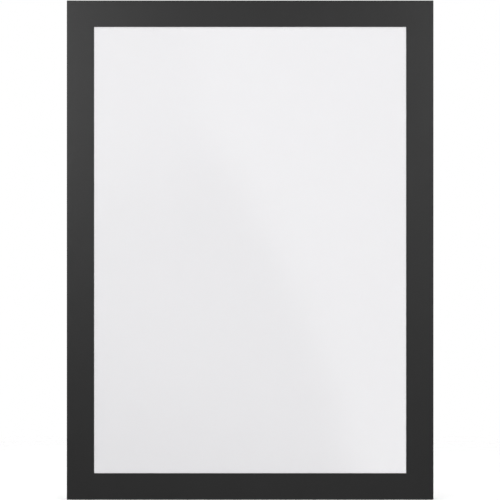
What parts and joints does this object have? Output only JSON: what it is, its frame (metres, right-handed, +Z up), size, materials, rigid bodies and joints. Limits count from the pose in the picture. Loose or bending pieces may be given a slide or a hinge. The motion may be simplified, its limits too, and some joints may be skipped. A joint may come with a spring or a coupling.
{
  "type": "magnetic picture frame",
  "caption": "Thin portrait picture frame with a black border round a clear window. Its leaf swings open on a side hinge, and magnets hold it shut and on a steel board.",
  "frame": {"origin": "centre of the rear face, on the plane of the board that the frame clings to", "axes": "+Z up along the long sides, +X to the right as seen from the front, +Y into the board"},
  "size_m": [0.235, 0.0019, 0.32],
  "materials": {
    "border_plastic": "satin",
    "clear_film": "gloss",
    "magnet_foil": "matte",
    "steel_foil": "satin",
    "panel_plastic": "matte",
    "hinge_plastic": "satin",
    "card_paper": "matte",
    "tape": "satin",
    "border_adhesive": "matte"
  },
  "bodies": {
    "rear_stack": {"wall_magnet": "magnet_foil", "wall_tape_top": "tape", "wall_tape_right": "tape", "wall_tape_bottom": "tape", "wall_tape_left": "tape", "back_panel": "panel_plastic", "keeper_tape_top": "tape", "keeper_tape_right": "tape", "keeper_tape_bottom": "tape", "keeper_top": "steel_foil", "keeper_right": "steel_foil", "keeper_bottom": "steel_foil", "hinge_rear_leaf": "hinge_plastic", "hinge_web": "hinge_plastic", "insert_card": "card_paper"},
    "front_leaf": {"hinge_front_leaf": "hinge_plastic", "front_magnet_top": "magnet_foil", "front_magnet_right": "magnet_foil", "front_magnet_bottom": "magnet_foil", "front_tape_top": "tape", "front_tape_right": "tape", "front_tape_bottom": "tape", "window_film": "clear_film", "border_tape": "border_adhesive", "front_border": "border_plastic"}
  },
  "joints": [
    {"name": "leaf_hinge", "type": "hinge", "parent": "rear_stack", "child": "front_leaf", "pos_m": [-0.1173, -0.00125, 0], "axis": [0, 0, -1], "range_deg": [0, 180]}
  ]
}
